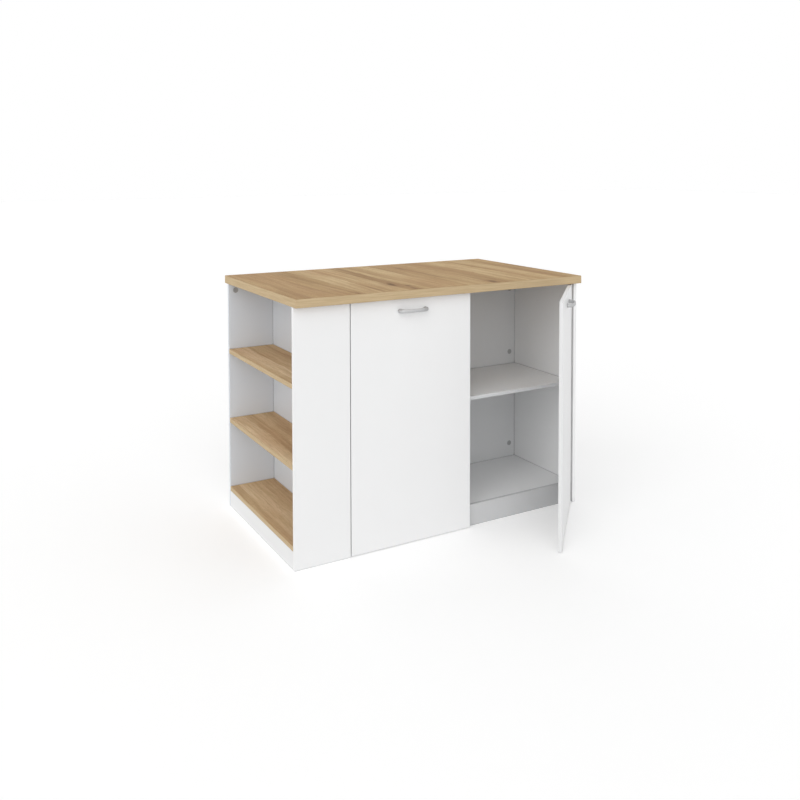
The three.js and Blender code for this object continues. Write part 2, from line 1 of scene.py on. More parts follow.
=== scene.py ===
import math

import bmesh
import bpy
from mathutils import Matrix, Vector


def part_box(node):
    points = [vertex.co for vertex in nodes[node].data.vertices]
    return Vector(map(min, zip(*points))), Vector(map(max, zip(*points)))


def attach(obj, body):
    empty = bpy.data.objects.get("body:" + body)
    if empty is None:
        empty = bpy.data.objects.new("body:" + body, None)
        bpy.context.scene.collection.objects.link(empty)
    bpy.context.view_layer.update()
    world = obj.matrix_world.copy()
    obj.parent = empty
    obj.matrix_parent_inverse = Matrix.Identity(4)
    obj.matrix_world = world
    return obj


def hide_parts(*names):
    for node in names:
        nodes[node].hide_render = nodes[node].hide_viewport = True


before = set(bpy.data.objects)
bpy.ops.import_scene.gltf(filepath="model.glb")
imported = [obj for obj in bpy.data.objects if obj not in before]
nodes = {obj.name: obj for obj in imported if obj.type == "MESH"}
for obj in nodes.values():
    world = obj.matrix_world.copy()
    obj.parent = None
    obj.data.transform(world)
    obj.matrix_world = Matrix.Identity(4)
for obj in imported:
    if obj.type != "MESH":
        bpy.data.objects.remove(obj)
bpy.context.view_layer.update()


# ---------------------------------------------------------------- filler panel and end panel
# The outer white boards: a narrow filler panel at the left of the front, and a full-depth end
# panel at the right. They are 12 mm particle board faced with white melamine, pressed with a fine
# pebble, and edged with a thin white band. Sawn and banded edges are very slightly eased.

MELAMINE_WHITE = (0.856, 0.858, 0.860)
MELAMINE_CLOUD = (0.846, 0.848, 0.850)
# Painted highlight: the eased edges of the boards are painted lighter than their faces.
MELAMINE_EDGE_HIGHLIGHT = (0.875, 0.877, 0.878)
PANEL_BAND = (0.915, 0.917, 0.919)
FILLER_ROUGHNESS = 0.38
OUTER_ROUGHNESS = 0.42
EASED_EDGE = 0.0006
# Painted shade: the white boards are darkened towards this grey in their corners and joints.
PAINTED_SHADE_GREY = (0.200, 0.203, 0.207)
PAINTED_SHADE_STRENGTH = 0.55
PAINTED_SHADE_REACH = 0.006
CLOUDS_PER_METRE = 2.6
CLOUD_DULLING = 0.05
PEBBLE_PER_METRE = 1400
PEBBLE_HEIGHT = 0.00003
PEBBLE_DULLING = 0.05
MELAMINE_IOR = 1.48
# Most of a noise's values lie between the first two, and nearly all between the second two.
NOISE = (0.3, 0.7)
NOISE_WIDE = (0.25, 0.75)
NOISE_NARROW = (0.35, 0.65)
# Rounded against flat normal, as a cosine: where an edge begins, and where it is full.
EDGE = (0.995, 0.80)
# The open share of the space round a point: where the painted shade of a joint begins, and where it is
# full.
JOINT = (0.80, 0.45)
NORMAL_SAMPLES = 6
# A face looks a given way where the cosine between them is above this.
LOOKS_THAT_WAY = 0.5
# A mix node's sockets go by number: its share, its two values, its two colours, the mixed colour.
SHARE, FIRST_VALUE, SECOND_VALUE, FIRST_COLOUR, SECOND_COLOUR = 0, 2, 3, 6, 7
MIXED_COLOUR = 2


def new_finish(name):
    finish = bpy.data.materials.new(name)
    finish.use_nodes = True
    return finish


def add(finish, kind, links=(), **settings):
    """A shader node of this kind; links gives its inputs, each a value or the socket that feeds it."""
    node = finish.node_tree.nodes.new(kind)
    for name, value in settings.items():
        setattr(node, name, value)
    for socket, value in dict(links).items():
        if isinstance(value, bpy.types.NodeSocket):
            finish.node_tree.links.new(value, node.inputs[socket])
        else:
            node.inputs[socket].default_value = value
    return node


def surface(finish):
    return finish.node_tree.nodes["Principled BSDF"]


def feed(finish, socket, target):
    finish.node_tree.links.new(socket, target)


def place_on_piece(finish):
    return add(finish, "ShaderNodeTexCoord").outputs["Object"]


def stretched(finish, place, scale, shift=(0, 0, 0)):
    links = {"Vector": place, "Scale": scale, "Location": shift}
    return add(finish, "ShaderNodeMapping", links).outputs[0]


def grainy(finish, place, scale, detail=3.0, roughness=0.5, distortion=0.0):
    return add(finish, "ShaderNodeTexNoise", {
        "Vector": place, "Scale": scale,
        "Detail": detail, "Roughness": roughness, "Distortion": distortion,
    }).outputs["Fac"]


def spread(finish, value, low, high, to_low=0.0, to_high=1.0):
    """The value, read between low and high, spread between to_low and to_high."""
    return add(finish, "ShaderNodeMapRange", {
        "Value": value, "From Min": low, "From Max": high, "To Min": to_low, "To Max": to_high,
    }).outputs[0]


def sums(finish, operation, first, second=0.0):
    return add(finish, "ShaderNodeMath", {0: first, 1: second}, operation=operation).outputs[0]


def colours(finish, share, first, second):
    def rgba(colour):
        return colour if isinstance(colour, bpy.types.NodeSocket) else (*colour, 1)
    links = {SHARE: share, FIRST_COLOUR: rgba(first), SECOND_COLOUR: rgba(second)}
    return add(finish, "ShaderNodeMix", links, data_type="RGBA").outputs[MIXED_COLOUR]


def raised(finish, height, distance, under=None):
    links = {"Height": height, "Distance": distance, "Strength": 1.0}
    if under is not None:
        links["Normal"] = under
    return add(finish, "ShaderNodeBump", links).outputs[0]


def cosine(finish, first, second):
    dot = add(finish, "ShaderNodeVectorMath", {0: first, 1: second}, operation="DOT_PRODUCT")
    return dot.outputs["Value"]


def face_direction(finish):
    return add(finish, "ShaderNodeTexCoord").outputs["Normal"]


def eased(finish, radius):
    """The normal with its edges rounded over this radius, and how near to an edge a point is."""
    rounded = add(finish, "ShaderNodeBevel", {"Radius": radius}, samples=NORMAL_SAMPLES).outputs[0]
    flat = add(finish, "ShaderNodeNewGeometry").outputs["True Normal"]
    return rounded, spread(finish, cosine(finish, rounded, flat), *EDGE)


def painted_joint_shade(finish, reach):
    """Painted shade: 1 in the very corner where two boards meet, 0 from this far out."""
    around = add(finish, "ShaderNodeAmbientOcclusion", {"Distance": reach}, samples=NORMAL_SAMPLES)
    return spread(finish, around.outputs["AO"], *JOINT)


def turned_to(finish, direction):
    """1 on faces that look along this direction or against it, 0 on the others."""
    along = cosine(finish, face_direction(finish), direction)
    return sums(finish, "GREATER_THAN", sums(finish, "ABSOLUTE", along), LOOKS_THAT_WAY)


def melamine(name, white, cloud, edge, roughness, flat=None, band=None, rear=None,
             painted_shade=PAINTED_SHADE_STRENGTH):
    """flat is the way the faced sides look; band colours the others, and rear the side to the back,
    lighter where the other sides carry painted shade.
    """
    finish = new_finish(name)
    place = place_on_piece(finish)
    normal, at_edge = eased(finish, EASED_EDGE)
    drift = grainy(finish, place, CLOUDS_PER_METRE, 3)
    faced = colours(finish, spread(finish, drift, *NOISE_NARROW), cloud, white)
    if band:
        faced = colours(finish, turned_to(finish, flat), band, faced)
    if rear:
        backward = add(finish, "ShaderNodeSeparateXYZ", {0: face_direction(finish)}).outputs["Y"]
        faced = colours(finish, sums(finish, "GREATER_THAN", backward, LOOKS_THAT_WAY), faced, rear)
    # Painted highlight: the eased edges get their own colour, mostly lighter than the faces.
    faced = colours(finish, at_edge, faced, edge)
    # Painted shade: corners and joints are darkened towards a grey, by how closed in they are.
    shade = sums(finish, "MULTIPLY", painted_joint_shade(finish, PAINTED_SHADE_REACH), painted_shade)
    feed(finish, colours(finish, shade, faced, PAINTED_SHADE_GREY), surface(finish).inputs["Base Color"])
    pebble = grainy(finish, place, PEBBLE_PER_METRE, 2)
    clouded = spread(finish, drift, *NOISE, roughness - CLOUD_DULLING, roughness + CLOUD_DULLING)
    dulled = sums(finish, "ADD", clouded, spread(finish, pebble, *NOISE, 0.0, PEBBLE_DULLING))
    feed(finish, dulled, surface(finish).inputs["Roughness"])
    feed(finish, raised(finish, pebble, PEBBLE_HEIGHT, normal), surface(finish).inputs["Normal"])
    surface(finish).inputs["IOR"].default_value = MELAMINE_IOR
    return finish


def dress(finish, *names):
    for name in names:
        nodes[name].data.materials.clear()
        nodes[name].data.materials.append(finish)


dress(melamine("outer_facing", MELAMINE_WHITE, MELAMINE_CLOUD, MELAMINE_EDGE_HIGHLIGHT, FILLER_ROUGHNESS),
      "filler_panel")
dress(melamine("end_panel_facing", MELAMINE_WHITE, MELAMINE_CLOUD, MELAMINE_EDGE_HIGHLIGHT, OUTER_ROUGHNESS,
               flat=(1, 0, 0), band=PANEL_BAND), "end_panel_right")


# ---------------------------------------------------------------- white boards of the bay
# The bay at the left end is closed by a rear panel and by an inner panel against the cabinet, and
# stands on a plinth that is set between filler and rear panel. The same faced 12 mm board.

# Painted shade: the bay's panels are painted a darker, cooler grey on all but their white rear.
BAY_PAINTED_SHADE_WHITE = (0.672, 0.706, 0.750)
BAY_PAINTED_SHADE_CLOUD = (0.688, 0.722, 0.765)
# Painted shade: the bay's plinth is painted a little darker than the white boards.
BAY_PLINTH_PAINTED_SHADE_WHITE = (0.800, 0.803, 0.806)
BAY_PLINTH_PAINTED_SHADE_CLOUD = (0.788, 0.791, 0.794)
# Painted light and shade: inner edges, greyer than outer edges, yet lighter than most faces they round.
INNER_SHADED_EDGE_HIGHLIGHT = (0.780, 0.785, 0.791)
INNER_ROUGHNESS = 0.46

dress(melamine("bay_facing_painted_shade", BAY_PAINTED_SHADE_WHITE, BAY_PAINTED_SHADE_CLOUD, INNER_SHADED_EDGE_HIGHLIGHT, INNER_ROUGHNESS, rear=MELAMINE_WHITE),
      "bay_rear_panel", "bay_inner_panel")
dress(melamine("bay_plinth_painted_shade", BAY_PLINTH_PAINTED_SHADE_WHITE, BAY_PLINTH_PAINTED_SHADE_CLOUD, MELAMINE_EDGE_HIGHLIGHT,
               OUTER_ROUGHNESS), "bay_plinth")


# ---------------------------------------------------------------- cabinet sides and backs
# The left and middle uprights carry the cabinets, and a back board closes each of them well
# inside the unit. The same faced board, whose rear is seen from behind, under the worktop.

# Painted shade: these boards are painted greyer than their white rear, as the shade inside the
# cabinets.
INNER_PAINTED_SHADE_WHITE = (0.735, 0.741, 0.748)
INNER_PAINTED_SHADE_CLOUD = (0.718, 0.724, 0.731)

dress(melamine("inner_facing_painted_shade", INNER_PAINTED_SHADE_WHITE, INNER_PAINTED_SHADE_CLOUD, INNER_SHADED_EDGE_HIGHLIGHT, INNER_ROUGHNESS,
               rear=MELAMINE_WHITE),
      "partition_left", "partition_middle", "left_back_board", "right_back_board")


# ---------------------------------------------------------------- cabinet shelves and bottoms
# Each cabinet has a bottom board fixed between its sides, and one loose shelf on four pins. Both
# are faced like the sides, and their edges are painted greyer, as painted shade inside the cabinet.

SHELF_BAND_PAINTED_SHADE = (0.640, 0.645, 0.650)
SHELF_ROUGHNESS = 0.44

dress(melamine("shelf_facing", MELAMINE_WHITE, MELAMINE_CLOUD, INNER_SHADED_EDGE_HIGHLIGHT, SHELF_ROUGHNESS,
               flat=(0, 0, 1), band=SHELF_BAND_PAINTED_SHADE),
      "left_shelf", "right_shelf", "left_bottom_board", "right_bottom_board")


# ---------------------------------------------------------------- cabinet plinths
# A low board under the front of each cabinet's bottom, cut from the same faced board. It stands
# in the shade of the door, which hides it when it is shut, and that shade is painted into its facing.

PLINTH_PAINTED_SHADE_WHITE = (0.588, 0.592, 0.598)
PLINTH_PAINTED_SHADE_CLOUD = (0.612, 0.616, 0.622)

dress(melamine("plinth_facing", PLINTH_PAINTED_SHADE_WHITE, PLINTH_PAINTED_SHADE_CLOUD, INNER_PAINTED_SHADE_WHITE, INNER_ROUGHNESS),
      "left_plinth", "right_plinth")


# ---------------------------------------------------------------- oak worktop
# The worktop is a 28 mm board faced with an oak decor, whose staves run from front to back. Its
# edges carry a lighter oak band with its grain along the edge, and a fine dark line shows where
# facing and band meet on the arris.

OAK_DARK = (0.320, 0.190, 0.084)
OAK_BODY = (0.500, 0.342, 0.178)
OAK_LIGHT = (0.670, 0.505, 0.300)
OAK_RED = (0.450, 0.265, 0.135)
OAK_RUST = (0.260, 0.130, 0.058)
OAK_PORE = (0.120, 0.064, 0.028)
OAK_BAND = (0.590, 0.456, 0.282)
OAK_BAND_DARK = (0.470, 0.348, 0.204)
OAK_ARRIS = (0.230, 0.140, 0.070)
# Staves from the left end of the worktop: where each begins, in metres, and how light it is.
STAVES = (
    (0.000, 0.42), (0.026, 0.22), (0.052, 0.42), (0.124, 0.28), (0.142, 0.38), (0.196, 0.26),
    (0.232, 0.66), (0.308, 0.50), (0.336, 0.70), (0.392, 0.25), (0.446, 0.55), (0.532, 0.66),
    (0.572, 0.44), (0.632, 0.40), (0.660, 0.58), (0.728, 0.33), (0.830, 0.64), (0.930, 0.36),
    (0.958, 0.64), (1.035, 0.28), (1.078, 0.46),
)
STAVES_LONG = 1.12
# A lower board is cut from another part of the same decor: metres across for each metre down.
STAVES_FOR_LEVEL = 1.9
# Knots and dark flecks in the worktop: middle, half width and half length in metres, and how dark.
KNOTS = (
    ((-0.245, -0.080), 0.011, 0.030, 0.85), ((-0.234, -0.045), 0.007, 0.022, 0.60),
    ((-0.221, -0.192), 0.006, 0.022, 0.65), ((-0.208, -0.130), 0.008, 0.020, 0.60),
    ((0.100, -0.182), 0.012, 0.026, 0.85), ((-0.337, -0.145), 0.005, 0.065, 0.40),
    ((-0.430, -0.200), 0.005, 0.022, 0.50), ((0.000, 0.310), 0.011, 0.045, 0.30),
)
# From the middle of a knot, in its own sizes: where its black, its rusty flame and the bend of the
# grain round it begin, and where each is full. The last is how far it pushes the grain aside.
KNOT_BLACK = (1.25, 0.45)
KNOT_FLAME = (3.4, 0.9)
KNOT_BEND = (4.0, 0.0)
KNOT_PUSH = 0.7
# Grains of the decor, each as lines for each metre across the stave, along it, and from cut to cut.
BEND_GRAIN = (6, 1.6, 6)
FEATHER_GRAIN = (420, 9, 420)
RUDDY_GRAIN = (9, 2.5, 9)
FIGURE_GRAIN = (24, 1.5, 1)
FADE_GRAIN = (14, 3.0, 1)
RIBBON_GRAIN = (62, 2.2, 1)
STREAK_GRAIN = (170, 4.5, 1)
FIBRE_GRAIN = (800, 14, 1)
PORE_GRAIN = (1500, 40, 1)
# The same for the band, along the edge, through it and up it.
BAND_STREAK_GRAIN = (9, 1, 260)
BAND_FIBRE_GRAIN = (40, 1, 1500)
# Detail, roughness and distortion of the noises behind these three.
FIGURE_NOISE = (3, 0.5, 0.4)
RIBBON_NOISE = (3, 0.55, 0.2)
STREAK_NOISE = (3, 0.6)
NOISE_WIDEST = (0.2, 0.8)
CUTS_APART = 40.0
RINGS_IN_FIGURE = 62.0
# How far the grain lines sway and the lines between staves feather, in metres.
SWAY = 0.014
FEATHER = 0.007
# How much each part of the figure lightens or darkens a stave, and the tones of its three colours.
FIGURE_TONE = 0.20
FADE_TONE = 0.14
RIBBON_TONE = 0.20
DARK_TONE, BODY_TONE, LIGHT_TONE = 0.05, 0.50, 0.95
# The values of each noise between which its colour comes in, and how strong it gets.
RUDDY = (0.42, 0.66, 0.0, 0.50)
RING = (0.30, 0.0, 0.0, 0.32)
STREAK = (0.50, 0.70, 0.0, 0.50)
FIBRE = (0.45, 0.75, 0.0, 0.28)
PORE = (0.62, 0.74, 0.0, 0.50)
BAND_STREAK = (0.35, 0.70)
BAND_FIBRE = (0.58, 0.75, 0.0, 0.45)
FLAME_SHARE = 0.55
ARRIS_SHARE = 0.4
# A face is level above the second cosine, and an arris between the two.
ARRIS_LEVEL, FACE_LEVEL = 0.2, 0.9
# Between the first two values of figure and pores together, the roughness runs between the others.
OAK_ROUGHNESS = (0.3, 1.2, 0.62, 0.80)
OAK_RELIEF = 0.00006
FIBRE_RELIEF = 0.3
OAK_GLOSS = 0.08
# Painted shade: the shares of red, green and blue to which the worktop's copy of the decor is darkened.
TOP_PAINTED_SHADE_TONE = (0.90, 0.89, 0.85)


def grain_lines(finish, place, grain, *noise):
    """Noise drawn out into lines: so many to the metre along each axis, and how fine it is."""
    return grainy(finish, stretched(finish, place, grain), 1.0, *noise)


def oak(name, painted_light_and_shade):
    # The decor's colours, darkened on the worktop as painted shade and lightened on the bay's boards as
    # painted light.
    def toned(colour):
        return tuple(share * part for share, part in zip(colour, painted_light_and_shade))

    finish = new_finish(name)
    place = place_on_piece(finish)
    normal, _ = eased(finish, EASED_EDGE)
    axes = add(finish, "ShaderNodeSeparateXYZ", {0: place}).outputs
    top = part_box("worktop")

    # Grain lines wander a little along the board, and part round each knot.
    bend = grain_lines(finish, place, BEND_GRAIN, 2)
    sway = spread(finish, bend, *NOISE_WIDE, -SWAY, SWAY)
    knotted, flamed = 0.0, 0.0
    for (x, y), half_width, half_length, dark in KNOTS:
        scale = (1 / half_width, 1 / half_length, 0)
        from_knot = stretched(finish, place, scale, (-x * scale[0], -y * scale[1], 0))
        length = add(finish, "ShaderNodeVectorMath", {0: from_knot}, operation="LENGTH")
        away = length.outputs["Value"]
        knotted = sums(finish, "MAXIMUM", knotted, spread(finish, away, *KNOT_BLACK, 0.0, dark))
        flamed = sums(finish, "MAXIMUM", flamed, spread(finish, away, *KNOT_FLAME, 0.0, dark))
        pushed = spread(finish, away, *KNOT_BEND, 0.0, KNOT_PUSH * half_width)
        sway = sums(finish, "ADD", sway, pushed)
    drop = sums(finish, "MULTIPLY", sums(finish, "SUBTRACT", top[1].z, axes["Z"]), STAVES_FOR_LEVEL)
    wandering = sums(finish, "ADD", sums(finish, "ADD", axes["X"], drop), sway)

    # Staves: each begins on a feathered line, and has its own tone and its own cut of the figure.
    feather = grain_lines(finish, place, FEATHER_GRAIN, 2)
    feathering = spread(finish, feather, *NOISE_WIDEST, -FEATHER, FEATHER)
    feathered = sums(finish, "ADD", wandering, feathering)
    across = sums(finish, "PINGPONG", sums(finish, "SUBTRACT", feathered, top[0].x), STAVES_LONG)
    staves = add(finish, "ShaderNodeValToRGB", {0: sums(finish, "DIVIDE", across, STAVES_LONG)})
    ramp = staves.color_ramp
    ramp.interpolation = "CONSTANT"
    for index, (begins, tone) in enumerate(STAVES):
        stop = ramp.elements[0] if index == 0 else ramp.elements.new(begins / STAVES_LONG)
        stop.color = (tone, tone, tone, 1)
    ramp.elements.remove(ramp.elements[len(ramp.elements) - 1])
    tone = sums(finish, "MULTIPLY", staves.outputs["Color"], 1.0)
    cut_place = add(finish, "ShaderNodeCombineXYZ", {
        "X": wandering, "Y": axes["Y"], "Z": sums(finish, "MULTIPLY", tone, CUTS_APART),
    }).outputs[0]
    figure = grain_lines(finish, cut_place, FIGURE_GRAIN, *FIGURE_NOISE)
    fade = grain_lines(finish, cut_place, FADE_GRAIN, 2)
    ribbon = grain_lines(finish, cut_place, RIBBON_GRAIN, *RIBBON_NOISE)
    streak = grain_lines(finish, cut_place, STREAK_GRAIN, *STREAK_NOISE)
    fibre = grain_lines(finish, cut_place, FIBRE_GRAIN, 2)
    pores = grain_lines(finish, cut_place, PORE_GRAIN, 1)
    ruddy = grain_lines(finish, place, RUDDY_GRAIN, 2)
    waves = sums(finish, "SINE", sums(finish, "MULTIPLY", figure, RINGS_IN_FIGURE))
    rings = sums(finish, "ABSOLUTE", waves)

    # A stave's tone fades along its length, and rings, streaks, fibres and pores lie over it.
    faded = sums(finish, "ADD", spread(finish, fade, *NOISE_WIDE, -FADE_TONE, FADE_TONE), tone)
    mellow = sums(finish, "ADD", spread(finish, figure, *NOISE_WIDE, -FIGURE_TONE, FIGURE_TONE), faded)
    mellow = sums(finish, "ADD", mellow, spread(finish, ribbon, *NOISE, -RIBBON_TONE, RIBBON_TONE))
    deep, body, light = toned(OAK_DARK), toned(OAK_BODY), toned(OAK_LIGHT)
    faced = colours(finish, spread(finish, mellow, DARK_TONE, BODY_TONE), deep, body)
    faced = colours(finish, spread(finish, mellow, BODY_TONE, LIGHT_TONE), faced, light)
    faced = colours(finish, spread(finish, ruddy, *RUDDY), faced, toned(OAK_RED))
    faced = colours(finish, sums(finish, "MULTIPLY", flamed, FLAME_SHARE), faced, toned(OAK_RUST))
    faced = colours(finish, spread(finish, rings, *RING), faced, deep)
    faced = colours(finish, spread(finish, streak, *STREAK), faced, deep)
    faced = colours(finish, spread(finish, fibre, *FIBRE), faced, light)
    in_pore = spread(finish, pores, *PORE)
    faced = colours(finish, in_pore, faced, OAK_PORE)
    faced = colours(finish, knotted, faced, OAK_PORE)

    # The band on the edges: its grain runs along x on the front, and along y on the ends.
    facing = add(finish, "ShaderNodeSeparateXYZ", {0: face_direction(finish)}).outputs
    sideways = sums(finish, "ABSOLUTE", facing["X"])
    end_face = sums(finish, "GREATER_THAN", sideways, LOOKS_THAT_WAY)
    ways = {SHARE: end_face, FIRST_VALUE: axes["X"], SECOND_VALUE: axes["Y"]}
    along = add(finish, "ShaderNodeMix", ways, data_type="FLOAT")
    band_place = add(finish, "ShaderNodeCombineXYZ", {"X": along.outputs[0], "Z": axes["Z"]}).outputs[0]
    band_streak = grain_lines(finish, band_place, BAND_STREAK_GRAIN, *STREAK_NOISE)
    band_fibre = grain_lines(finish, band_place, BAND_FIBRE_GRAIN, 2)
    band = colours(finish, spread(finish, band_streak, *BAND_STREAK), OAK_BAND, OAK_BAND_DARK)
    band = colours(finish, spread(finish, band_fibre, *BAND_FIBRE), band, OAK_BODY)

    level = sums(finish, "ABSOLUTE", facing["Z"])
    is_face = sums(finish, "GREATER_THAN", level, FACE_LEVEL)
    on_arris = sums(finish, "MULTIPLY", sums(finish, "GREATER_THAN", level, ARRIS_LEVEL),
                    sums(finish, "LESS_THAN", level, FACE_LEVEL))
    dressed = colours(finish, is_face, band, faced)
    dressed = colours(finish, sums(finish, "MULTIPLY", on_arris, ARRIS_SHARE), dressed, OAK_ARRIS)
    feed(finish, dressed, surface(finish).inputs["Base Color"])

    dulled = spread(finish, sums(finish, "ADD", figure, in_pore), *OAK_ROUGHNESS)
    feed(finish, dulled, surface(finish).inputs["Roughness"])
    relief = sums(finish, "SUBTRACT", spread(finish, fibre, *NOISE, 0.0, FIBRE_RELIEF), in_pore)
    feed(finish, raised(finish, relief, OAK_RELIEF, normal), surface(finish).inputs["Normal"])
    surface(finish).inputs["Specular IOR Level"].default_value = OAK_GLOSS
    return finish


dress(oak("oak_worktop", TOP_PAINTED_SHADE_TONE), "worktop")


# ---------------------------------------------------------------- oak boards of the bay
# The bay's bottom board and its two shelves are 16 mm boards in the same oak decor and band,
# fixed between the bay's panels. Their facing is painted lighter than the worktop's, as painted light.

BAY_BOARD_PAINTED_LIGHT_TONE = (1.18, 1.23, 1.36)

dress(oak("oak_bay_boards", BAY_BOARD_PAINTED_LIGHT_TONE), "bay_bottom_board", "bay_shelf_lower", "bay_shelf_upper")


# ---------------------------------------------------------------- doors
# Each door is one 12 mm board faced like the carcass, a little smoother and brighter on its
# fronts, and banded on all four edges in a band painted greyer, as painted shade. The right one
# stands open by 46.6 degrees, and the narrow gaps round the shut one stay light: their painted shade is
# faint.

RIGHT_DOOR_OPEN = math.radians(46.6)
FRONT_WHITE = (0.864, 0.866, 0.868)
FRONT_CLOUD = (0.854, 0.856, 0.858)
# Painted highlight: the doors' eased edges are painted lighter than their fronts.
FRONT_EDGE_HIGHLIGHT = (0.885, 0.887, 0.889)
FRONT_BAND_PAINTED_SHADE = (0.720, 0.723, 0.727)
FRONT_ROUGHNESS = 0.34
DOOR_GAP_PAINTED_SHADE = 0.05

for door, turn in (("left_door", 0.0), ("right_door", RIGHT_DOOR_OPEN)):
    dress(melamine(f"{door}_facing", FRONT_WHITE, FRONT_CLOUD, FRONT_EDGE_HIGHLIGHT, FRONT_ROUGHNESS,
                   flat=(math.sin(turn), -math.cos(turn), 0), band=FRONT_BAND_PAINTED_SHADE,
                   painted_shade=DOOR_GAP_PAINTED_SHADE), door)


# ---------------------------------------------------------------- bow handles
# A die-cast zinc bow with a satin grey finish: two oval feet, 96 mm between their screws, flow
# into a slim bar whose face stands 27 mm off the door. Two screws from behind hold it.

HANDLE_GREY = (0.480, 0.482, 0.486)
HANDLE_WORN = (0.620, 0.622, 0.626)
HANDLE_ROUGHNESS = 0.46
HANDLE_METALLIC = 0.55
HANDLE_BRUSHED = (900, 900, 60)
METAL_EDGE = 0.0005
METAL_EDGE_WEAR = 0.6
BLOTCHES_PER_METRE = 60
BLOTCH_WEAR = 0.25
BLOTCH_DULLING = 0.06
BRUSH_DULLING = 0.05
BRUSH_DEPTH = 0.00001
HANDLE_RINGS = 41
HANDLE_ROUND = 28
FOOT_WIDTH = 0.017
BAR_HEIGHT = 0.0115
BAR_THICKNESS = 0.006
# How far the bow's curves hold to the line of the foot, and to the line of the bar.
OUTER_RISE, INNER_RISE, BAR_RUN = 0.7, 0.8, 0.7
# The share of the half bow over which the foot slims into the bar, how suddenly it does so, and how
# much squarer than an oval its section gets.
SLIM_UNTIL, SLIM_SPEED, SQUARER = 0.75, 2.2, 1.2


def satin_metal(name, grey, worn, roughness, brushed, metallic=1.0):
    finish = new_finish(name)
    place = place_on_piece(finish)
    normal, at_edge = eased(finish, METAL_EDGE)
    lines = grain_lines(finish, place, brushed, 2)
    blotch = grainy(finish, place, BLOTCHES_PER_METRE, 3)
    tone = colours(finish, spread(finish, blotch, *NOISE, 0.0, BLOTCH_WEAR), grey, worn)
    tone = colours(finish, sums(finish, "MULTIPLY", at_edge, METAL_EDGE_WEAR), tone, worn)
    feed(finish, tone, surface(finish).inputs["Base Color"])
    dulled = spread(finish, lines, *NOISE, roughness - BRUSH_DULLING, roughness + BRUSH_DULLING)
    dulled = sums(finish, "ADD", dulled, spread(finish, blotch, *NOISE, 0.0, BLOTCH_DULLING))
    feed(finish, dulled, surface(finish).inputs["Roughness"])
    feed(finish, raised(finish, lines, BRUSH_DEPTH, normal), surface(finish).inputs["Normal"])
    surface(finish).inputs["Metallic"].default_value = metallic
    return finish


def on_curve(t, *points):
    """The place at t, from 0 to 1, on the smooth curve that these four points pull."""
    s = 1 - t
    weights = (s ** 3, 3 * s * s * t, 3 * s * t * t, t ** 3)
    return sum((w * Vector(p) for w, p in zip(weights, points)), Vector((0, 0)))


def bow_handle(name, replaced, body, turn, finish):
    """Drawn in the place and size of the CAD handle, as if its door were shut, and then turned."""
    away = Matrix.Rotation(-turn, 3, "Z")
    corners = [away @ v.co for v in nodes[replaced].data.vertices]
    low = Vector(min(c[i] for c in corners) for i in range(3))
    high = Vector(max(c[i] for c in corners) for i in range(3))
    half, foot = (high.x - low.x) / 2, high.z - low.z
    reach = high.y - low.y
    inner_reach = reach - BAR_THICKNESS
    inner = half - FOOT_WIDTH
    outer_curve = (-half, 0), (-half, OUTER_RISE * reach), (-inner, reach), (0, reach)
    inner_curve = ((-inner, 0), (-inner, INNER_RISE * inner_reach),
                   (-BAR_RUN * inner, inner_reach), (0, inner_reach))
    mesh = bmesh.new()
    rings = []
    for ring in range(HANDLE_RINGS):
        along = 2 * ring / (HANDLE_RINGS - 1)
        t, side = (along, 1) if along <= 1 else (2 - along, -1)
        outer_point, inner_point = on_curve(t, *outer_curve), on_curve(t, *inner_curve)
        middle, across = (outer_point + inner_point) / 2, (outer_point - inner_point) / 2
        slim = 1 - (1 - min(1, t / SLIM_UNTIL)) ** SLIM_SPEED
        tall = foot / 2 + (BAR_HEIGHT - foot) / 2 * slim
        square = 2 + SQUARER * slim
        vertices = []
        for step in range(HANDLE_ROUND):
            angle = 2 * math.pi * step / HANDLE_ROUND
            c, s = math.cos(angle), math.sin(angle)
            c = math.copysign(abs(c) ** (2 / square), c)
            s = math.copysign(abs(s) ** (2 / square), s)
            x, out = middle.x + c * across.x, middle.y + c * across.y
            vertices.append(mesh.verts.new((side * x, -out, s * tall)))
        rings.append(vertices)
    for first, second in zip(rings, rings[1:]):
        for step in range(HANDLE_ROUND):
            after = (step + 1) % HANDLE_ROUND
            mesh.faces.new((first[step], first[after], second[after], second[step]))
    for end in (rings[0], rings[-1]):
        mesh.faces.new(end)
    bmesh.ops.recalc_face_normals(mesh, faces=mesh.faces)
    centre = Vector(((low.x + high.x) / 2, high.y, (low.z + high.z) / 2))
    data = bpy.data.meshes.new(name)
    mesh.transform(Matrix.Rotation(turn, 4, "Z") @ Matrix.Translation(centre))
    mesh.to_mesh(data)
    mesh.free()
    # All but the two end faces, which have more corners, are smooth.
    for face in data.polygons:
        face.use_smooth = len(face.vertices) == 4
    data.materials.append(finish)
    handle = bpy.data.objects.new(name, data)
    bpy.context.scene.collection.objects.link(handle)
    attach(handle, body)
    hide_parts(replaced)


handle_finish = satin_metal("satin_grey_bow", HANDLE_GREY, HANDLE_WORN, HANDLE_ROUGHNESS,
                            HANDLE_BRUSHED, HANDLE_METALLIC)
bow_handle("left_bow_handle", "left_handle", "left_door", 0.0, handle_finish)
bow_handle("right_bow_handle", "right_handle", "right_door", RIGHT_DOOR_OPEN, handle_finish)


# ---------------------------------------------------------------- hinges, shelf pins and screws
# Concealed hinges, two for each door, of pressed steel: arm, outer link, inner link and cup. Steel
# pins carry the shelves, and steel screws hold the handles. All are nickel-plated.

PLATED = (0.600, 0.606, 0.615)
PLATED_BRIGHT = (0.740, 0.745, 0.750)
PLATED_ROUGHNESS = 0.26
PLATED_BRUSHED = (60, 60, 900)

